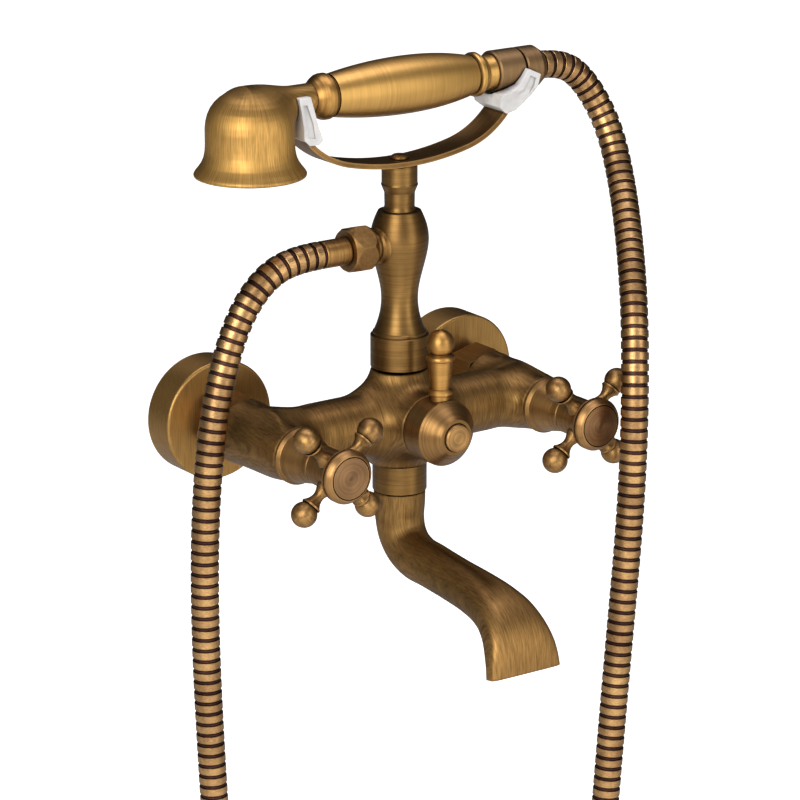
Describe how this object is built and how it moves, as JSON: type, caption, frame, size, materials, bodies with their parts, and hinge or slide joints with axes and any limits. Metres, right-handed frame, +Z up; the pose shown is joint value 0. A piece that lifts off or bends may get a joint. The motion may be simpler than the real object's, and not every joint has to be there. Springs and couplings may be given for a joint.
{
  "type": "wall mounted bath faucet with hand shower",
  "caption": "Two-handle wall mounted bath mixer in antique brass with a swivelling spout, diverter lever, cradled hand shower and hanging metal hose.",
  "frame": {"origin": "on the wall face, midway between the two inlets", "axes": "+X to the right as seen from the room, +Y into the wall, +Z up"},
  "size_m": [0.2502, 0.1926, 0.7326],
  "materials": {
    "antique_brass": "brushed antique brass with dark patina in the recesses",
    "hose_brass": "ribbed antique brass hose, dark grooves",
    "plain_brass": "machined",
    "steel": "machined",
    "ceramic": "lapped",
    "white_nylon": "translucent moulded nylon",
    "black_rubber": "matt"
  },
  "bodies": {
    "mixer": {"left_wall_flange": "antique_brass", "right_wall_flange": "antique_brass", "left_wall_union": "plain_brass", "right_wall_union": "plain_brass", "union_nuts": "antique_brass", "union_washers": "black_rubber", "mixer_body": "antique_brass", "hot_bonnet": "antique_brass", "cold_bonnet": "antique_brass", "hot_cartridge": "plain_brass", "cold_cartridge": "plain_brass", "hot_fixed_disc": "ceramic", "cold_fixed_disc": "ceramic", "diverter_cartridge": "plain_brass", "riser_collar": "antique_brass", "riser_o_ring": "black_rubber", "riser_column": "antique_brass", "hose_outlet": "antique_brass", "outlet_washer": "black_rubber", "outlet_nut": "antique_brass", "hose_lower_ferrule": "antique_brass", "spout_collar": "antique_brass", "hose_lower_run": "hose_brass"},
    "diverter": {"diverter_spindle": "plain_brass", "diverter_knob": "antique_brass", "diverter_lever": "antique_brass", "diverter_screw": "steel", "diverter_button": "antique_brass"},
    "spout": {"spout": "antique_brass", "flow_straightener": "white_nylon", "spout_o_ring": "black_rubber"},
    "cradle": {"cradle_post": "antique_brass", "cradle_bar": "antique_brass", "cradle_screw": "antique_brass", "neck_fork_pad": "white_nylon", "nut_fork_pad": "white_nylon"},
    "handset": {"shower_head": "antique_brass", "spray_plate": "antique_brass", "spray_gasket": "black_rubber", "waterway_tube": "plain_brass", "neck_ring": "antique_brass", "grip": "antique_brass", "grip_end": "antique_brass", "swivel_nut": "antique_brass", "swivel_washer": "black_rubber", "hose_upper_ferrule": "antique_brass", "hose_upper_run": "hose_brass"},
    "hot_handle": {"hot_handle_cross": "antique_brass", "hot_ball_tips": "antique_brass", "hot_index_cap": "antique_brass", "hot_handle_screw": "steel", "hot_spindle": "plain_brass", "hot_moving_disc": "ceramic"},
    "cold_handle": {"cold_handle_cross": "antique_brass", "cold_ball_tips": "antique_brass", "cold_index_cap": "antique_brass", "cold_handle_screw": "steel", "cold_spindle": "plain_brass", "cold_moving_disc": "ceramic"}
  },
  "joints": [
    {"name": "hot_valve_turn", "type": "hinge", "parent": "mixer", "child": "hot_handle", "pos_m": [-0.075, -0.1, 0], "axis": [0, -1, 0], "range_deg": [0, 90]},
    {"name": "cold_valve_turn", "type": "hinge", "parent": "mixer", "child": "cold_handle", "pos_m": [0.075, -0.1, 0], "axis": [0, -1, 0], "range_deg": [-90, 0]},
    {"name": "diverter_turn", "type": "hinge", "parent": "mixer", "child": "diverter", "pos_m": [0, -0.1, 0.0025], "axis": [0, 1, 0], "range_deg": [0, 90]},
    {"name": "spout_swivel", "type": "hinge", "parent": "mixer", "child": "spout", "pos_m": [0, -0.0685, -0.04], "axis": [0, 0, 1], "range_deg": [-30, 30]},
    {"name": "cradle_swivel", "type": "hinge", "parent": "mixer", "child": "cradle", "pos_m": [0, -0.0685, 0.12], "axis": [0, 0, 1], "range_deg": [-20, 20], "deforming": ["hose_lower_run", "hose_upper_run"]},
    {"name": "handset_lift", "type": "slide", "parent": "cradle", "child": "handset", "axis": [-0.342, 0, 0.9397], "range_m": [0, 0.06], "deforming": ["hose_upper_run", "hose_lower_run"]}
  ]
}
